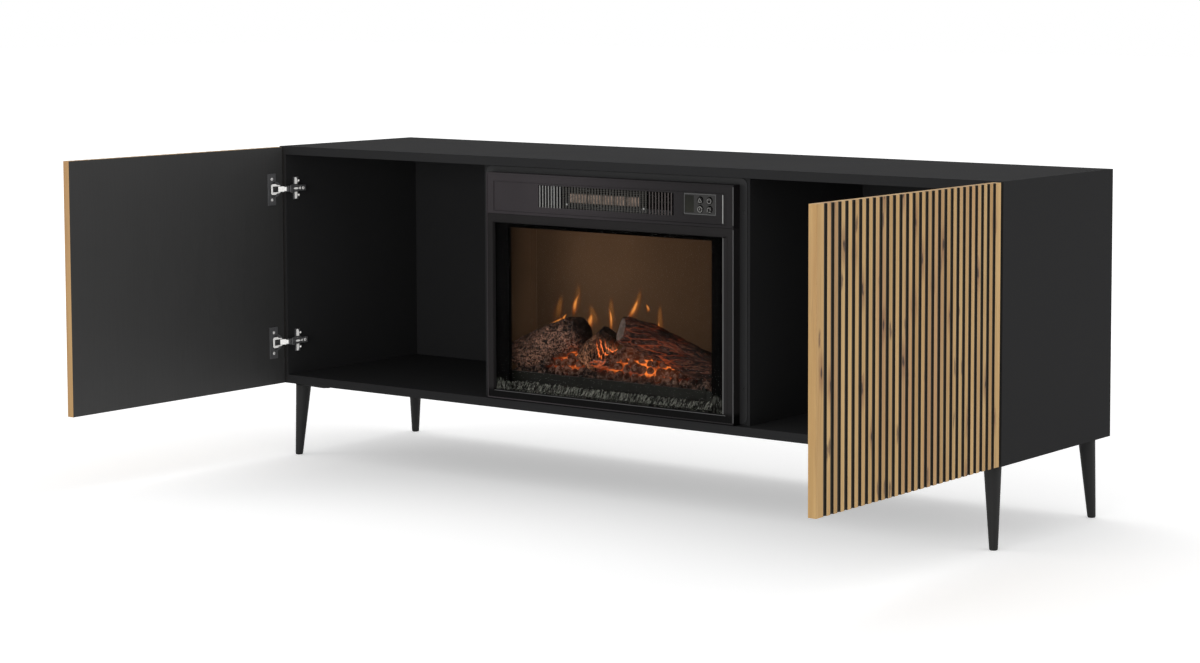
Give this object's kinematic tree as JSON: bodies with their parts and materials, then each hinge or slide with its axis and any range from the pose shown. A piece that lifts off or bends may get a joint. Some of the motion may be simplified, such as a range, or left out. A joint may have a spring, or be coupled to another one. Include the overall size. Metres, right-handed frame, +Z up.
{
  "type": "fireplace tv stand",
  "caption": "Low black cabinet on splayed legs with grooved oak-look doors standing open and an electric fireplace insert in the middle section",
  "frame": {"origin": "centre of the bounding box, open doors included, on the floor plane under the feet", "axes": "+X to the right along the cabinet's length, -Y to the front, +Z up"},
  "size_m": [1.8, 1.008, 0.672],
  "materials": {
    "cabinet_board": "matt laminate",
    "door_board": "grooved light oak outside, dark grey laminate inside",
    "black_metal": "matt powder coat",
    "hinge_cup_steel": "darkened nickel",
    "hinge_nickel": "nickel plate",
    "sheet_steel": "zinc coated sheet",
    "insert_metal": "satin black",
    "insert_plastic": "fine grained black",
    "panel_plastic": "satin black",
    "display_cover": "dark tinted",
    "window_glass": "clear tinted",
    "flame_screen": "translucent brown",
    "log_resin": "cast bark",
    "ember_resin": "lit from below",
    "ash": "crushed grit",
    "heater_element": "finned"
  },
  "bodies": {
    "cabinet": {"ash_strip": "ash", "back_panel": "cabinet_board", "blower_motor": "sheet_steel", "bottom_panel": "cabinet_board", "centre_log": "log_resin", "control_panel": "panel_plastic", "cord_gland": "insert_plastic", "display_window": "display_cover", "ember_bed": "ember_resin", "fascia_cover": "insert_plastic", "flame_screen": "flame_screen", "front_frame": "insert_plastic", "front_left_leg": "black_metal", "front_left_leg_plate": "black_metal", "front_right_leg": "black_metal", "front_right_leg_plate": "black_metal", "grate_bar": "insert_metal", "heater_box": "sheet_steel", "heater_element": "heater_element", "heater_grille": "insert_metal", "insert_flange": "insert_metal", "insert_housing": "sheet_steel", "left_divider": "cabinet_board", "left_log": "log_resin", "left_lower_hinge_arm": "hinge_nickel", "left_lower_hinge_mount": "hinge_nickel", "left_side_panel": "cabinet_board", "left_upper_hinge_arm": "hinge_nickel", "left_upper_hinge_mount": "hinge_nickel", "rear_left_leg": "black_metal", "rear_left_leg_plate": "black_metal", "rear_right_leg": "black_metal", "rear_right_leg_plate": "black_metal", "right_divider": "cabinet_board", "right_log": "log_resin", "right_lower_hinge_arm": "hinge_nickel", "right_lower_hinge_mount": "hinge_nickel", "right_side_panel": "cabinet_board", "right_upper_hinge_arm": "hinge_nickel", "right_upper_hinge_mount": "hinge_nickel", "rotor_motor": "sheet_steel", "top_panel": "cabinet_board", "window_glass": "window_glass", "window_surround": "insert_metal"},
    "left_door": {"left_door": "door_board", "left_upper_hinge_cup": "hinge_cup_steel", "left_lower_hinge_cup": "hinge_cup_steel"},
    "right_door": {"right_door": "door_board", "right_upper_hinge_cup": "hinge_cup_steel", "right_lower_hinge_cup": "hinge_cup_steel"},
    "left_links": {"left_upper_hinge_link": "hinge_nickel", "left_lower_hinge_link": "hinge_nickel"},
    "right_links": {"right_upper_hinge_link": "hinge_nickel", "right_lower_hinge_link": "hinge_nickel"},
    "blower": {"blower_wheel": "insert_plastic"},
    "rotor": {"flame_rotor": "sheet_steel"},
    "button_1_body": {"button_1": "panel_plastic"},
    "button_2_body": {"button_2": "panel_plastic"},
    "button_3_body": {"button_3": "panel_plastic"},
    "button_4_body": {"button_4": "panel_plastic"}
  },
  "joints": [
    {"name": "left_door_hinge", "type": "hinge", "parent": "cabinet", "child": "left_door", "pos_m": [-0.895, 0.077, 0.415], "axis": [0, 0, -1], "range_deg": [-90, 15]},
    {"name": "left_link_fold", "type": "hinge", "parent": "cabinet", "child": "left_links", "pos_m": [-0.874, 0.0815, 0.415], "axis": [0, 0, -1], "range_deg": [-11, 61]},
    {"name": "right_door_hinge", "type": "hinge", "parent": "cabinet", "child": "right_door", "pos_m": [0.895, 0.077, 0.415], "axis": [0, 0, 1], "range_deg": [-90, 15]},
    {"name": "right_link_fold", "type": "hinge", "parent": "cabinet", "child": "right_links", "pos_m": [0.874, 0.0815, 0.415], "axis": [0, 0, 1], "range_deg": [-11, 61]},
    {"name": "button_1_press", "type": "slide", "parent": "cabinet", "child": "button_1_body", "axis": [0, 1, 0], "range_m": [0, 0.001], "stiffness_N_per_m": 300},
    {"name": "button_2_press", "type": "slide", "parent": "cabinet", "child": "button_2_body", "axis": [0, 1, 0], "range_m": [0, 0.001], "stiffness_N_per_m": 300},
    {"name": "button_3_press", "type": "slide", "parent": "cabinet", "child": "button_3_body", "axis": [0, 1, 0], "range_m": [0, 0.001], "stiffness_N_per_m": 300},
    {"name": "button_4_press", "type": "slide", "parent": "cabinet", "child": "button_4_body", "axis": [0, 1, 0], "range_m": [0, 0.001], "stiffness_N_per_m": 300},
    {"name": "blower_spin", "type": "hinge", "parent": "cabinet", "child": "blower", "pos_m": [-0.012, 0.187, 0.5966], "axis": [1, 0, 0], "continuous": true},
    {"name": "rotor_spin", "type": "hinge", "parent": "cabinet", "child": "rotor", "pos_m": [0, 0.248, 0.225], "axis": [1, 0, 0], "continuous": true}
  ],
  "couplings": [
    {"joint": "left_link_fold", "follows": "left_door_hinge", "ratio": -0.66667},
    {"joint": "right_link_fold", "follows": "right_door_hinge", "ratio": -0.66667}
  ]
}
